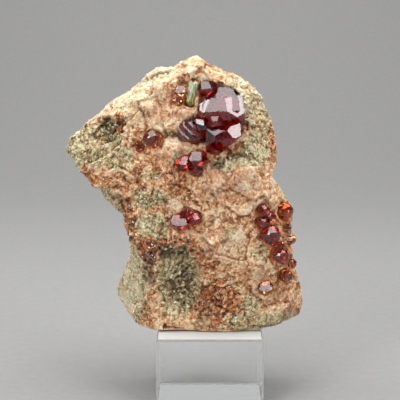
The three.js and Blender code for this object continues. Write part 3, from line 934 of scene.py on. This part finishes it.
def grain_crystal():
    """Corners and triangles of a crystal with twelve rhombic faces, 2 mm between faces."""
    corners = [(x, y, z) for x in (-1, 1) for y in (-1, 1) for z in (-1, 1)]
    for sign in (-2, 2):
        corners += [(sign, 0, 0), (0, sign, 0), (0, 0, sign)]
    mesh = bpy.data.meshes.new("grain")
    mesh.from_pydata(corners, [], [])
    grain = bpy.data.objects.new("grain", mesh)
    scene.collection.objects.link(grain)
    only(grain)
    bpy.ops.object.mode_set(mode="EDIT")
    bpy.ops.mesh.select_all(action="SELECT")
    bpy.ops.mesh.convex_hull()
    bpy.ops.mesh.quads_convert_to_tris()
    bpy.ops.object.mode_set(mode="OBJECT")
    corners = np.array([vertex.co for vertex in mesh.vertices]) / math.sqrt(2)
    faces = np.array([face.vertices for face in mesh.polygons])
    bpy.data.objects.remove(grain)
    return corners, faces


def scattered(name, seed, count, patches, sizes, stretch, sunk):
    """Small crystals on the stone's front, thickest where the patches are strongest.

    stretch is how long each may be for its width, and sunk how deep its middle sits.
    """
    rng = np.random.default_rng(seed)
    corners, faces = grain_crystal()
    all_corners, all_faces = [], []
    while len(all_corners) < count:
        x, height = rng.uniform(*SEARCH_ACROSS), rng.uniform(*SEARCH_UP)
        if rng.uniform(0, 1) > patch_share(patches, np.array([x]), np.array([height]))[0] ** 2:
            continue
        start = Vector((x, 0, STONE_FOOT + height)) * MM
        start.y = SEARCH_FRONT
        hit, place, outward, _ = stone.ray_cast(start, Vector((0, 1, 0)))
        if not hit or place.y > CRUST_BACK * MM:
            continue
        size = rng.uniform(*sizes) / 2
        turn, _ = np.linalg.qr(rng.normal(0, 1, (3, 3)))
        turn *= np.linalg.det(turn)
        long = size * np.array((1, 1, rng.uniform(*stretch)))
        middle = np.array(place) / MM - np.array(outward) * size * sunk
        all_faces.append(faces + len(all_corners) * len(corners))
        all_corners.append((corners * long) @ turn.T + middle)
    mesh = bpy.data.meshes.new(name)
    mesh.from_pydata(np.concatenate(all_corners) * MM, [], np.concatenate(all_faces).tolist())
    piece = bpy.data.objects.new(name, mesh)
    scene.collection.objects.link(piece)
    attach(piece, "root")
    return piece


def pale_grain():
    material, tree, shader, place = new_material("pale_grain")
    tone = ramp(tree, cells(tree, place, GRAIN_CELL), [
        (0.2, (0.2, 0.165, 0.07)), (0.5, (0.45, 0.41, 0.225)), (0.8, (0.73, 0.69, 0.49)),
    ])
    tree.links.new(tone, shader.inputs["Base Color"])
    shader.inputs["Roughness"].default_value = 0.35
    return material


druse = scattered("druse", DRUSE_SEED, DRUSE_COUNT, RUST, DRUSE_SIZES, (0.9, 1.1), DRUSE_SUNK)
dress(druse, orange_garnet)
grains = scattered("grains", GRAIN_SEED, GRAIN_COUNT, GREEN, GRAIN_SIZES, (1, 2.6), GRAIN_SUNK)
dress(grains, pale_grain())

# ---------------------------------------------------------------------------
# Studio. A pale paper floor that curves up behind, in a dim room. A soft box hangs
# overhead, with a strip on each side, a fill at each front corner and a light on
# the paper behind. The camera looks slightly down.

FLOOR_SIDE = 4.0         # metres, like the other sizes of the studio
SWEEP_BACK = 0.5
SWEEP_RADIUS = 1.2
SWEEP_STEPS = 24
WALL_HEIGHT = 1.5
PAPER_FIBRE = 4 * MM
THROUGH_LIGHT = 0.4
ROOM_COLOUR = (0.9, 0.93, 1)
ROOM_LIGHT = 0.12
# Each lamp's place, what it points at, its sides and its power in watts.
LAMPS = {
    "overhead": ((0, -0.12, 0.62), (0, -0.08, 0.09), (0.6, 0.36), 2.8),
    "right_strip": ((0.43, 0.03, 0.6), (0.1, 0.03, 0.09), (0.4, 0.22), 2.1),
    "left_strip": ((-0.43, 0.08, 0.6), (-0.1, 0.08, 0.09), (0.4, 0.22), 2.1),
    "left_fill": ((-0.5, -0.6, 0.42), (0, 0, 0.08), (0.4, 0.4), 4.6),
    "right_fill": ((0.55, -0.5, 0.42), (0, 0, 0.08), (0.35, 0.35), 2.8),
    "backdrop": ((0, 0.6, 1.4), (0, 1.2, 0.5), (1.6, 0.6), 26),
}
CAMERA_PLACE = (-3.7 * MM, -456 * MM, 141.6 * MM)
CAMERA_DOWN = 8.36       # degrees
CAMERA_LENS = 108.8      # mm


def studio_floor():
    bpy.ops.object.select_all(action="DESELECT")
    bpy.ops.mesh.primitive_plane_add(size=FLOOR_SIDE)
    floor = bpy.context.object
    floor.name = "floor"
    for vertex in floor.data.vertices:
        vertex.select = vertex.co.y > 0
        if vertex.select:
            vertex.co.y = SWEEP_BACK
    bpy.ops.object.mode_set(mode="EDIT")
    bpy.ops.mesh.select_mode(type="EDGE")
    bpy.ops.mesh.spin(steps=SWEEP_STEPS, angle=math.radians(-90), axis=(1, 0, 0),
                      center=(0, SWEEP_BACK, SWEEP_RADIUS))
    bpy.ops.mesh.extrude_region_move(TRANSFORM_OT_translate={"value": (0, 0, WALL_HEIGHT)})
    bpy.ops.object.mode_set(mode="OBJECT")
    bpy.ops.object.shade_smooth()
    material, tree, shader, place = new_material("floor_paper")
    fibre = noise_value(tree, place, PAPER_FIBRE, 5, 0.6)
    tone = ramp(tree, fibre, [(0.3, (0.21, 0.208, 0.204)), (0.7, (0.23, 0.228, 0.224))])
    tree.links.new(tone, shader.inputs["Base Color"])
    shader.inputs["Roughness"].default_value = 0.85
    # The renderer lets no lamp light down through clear plastic; this stands in for it.
    axes = node(tree, "ShaderNodeSeparateXYZ")
    tree.links.new(place, axes.inputs["Vector"])
    under = 1.0
    low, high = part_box("display_block")
    for axis in "xy":
        middle = (getattr(low, axis) + getattr(high, axis)) / 2
        half = (getattr(high, axis) - getattr(low, axis)) / 2
        offset = calculated(tree, "SUBTRACT", axes.outputs[axis.upper()], middle)
        inside = calculated(tree, "LESS_THAN", calculated(tree, "ABSOLUTE", offset, 0), half)
        under = calculated(tree, "MULTIPLY", inside, under)
    tree.links.new(calculated(tree, "MULTIPLY", under, THROUGH_LIGHT),
                   shader.inputs["Emission Strength"])
    dress(floor, material)


def soft_box(name, place, aim, sides, watts):
    light = bpy.data.lights.new(name, "AREA")
    light.shape = "RECTANGLE"
    light.size, light.size_y = sides
    light.energy = watts
    lamp = bpy.data.objects.new(name, light)
    lamp.location = place
    lamp.rotation_euler = (Vector(aim) - Vector(place)).to_track_quat("-Z", "Y").to_euler()
    scene.collection.objects.link(lamp)


studio_floor()
for name, settings in LAMPS.items():
    soft_box(name, *settings)

room = bpy.data.worlds.new("room")
room.use_nodes = True
background = room.node_tree.nodes["Background"]
background.inputs["Color"].default_value = (*ROOM_COLOUR, 1)
background.inputs["Strength"].default_value = ROOM_LIGHT
scene.world = room
scene.view_settings.view_transform = "Standard"

camera_data = bpy.data.cameras.new("camera")
camera_data.lens = CAMERA_LENS
camera = bpy.data.objects.new("camera", camera_data)
camera.location = CAMERA_PLACE
camera.rotation_euler = (math.radians(90 - CAMERA_DOWN), 0, 0)
scene.collection.objects.link(camera)
scene.camera = camera
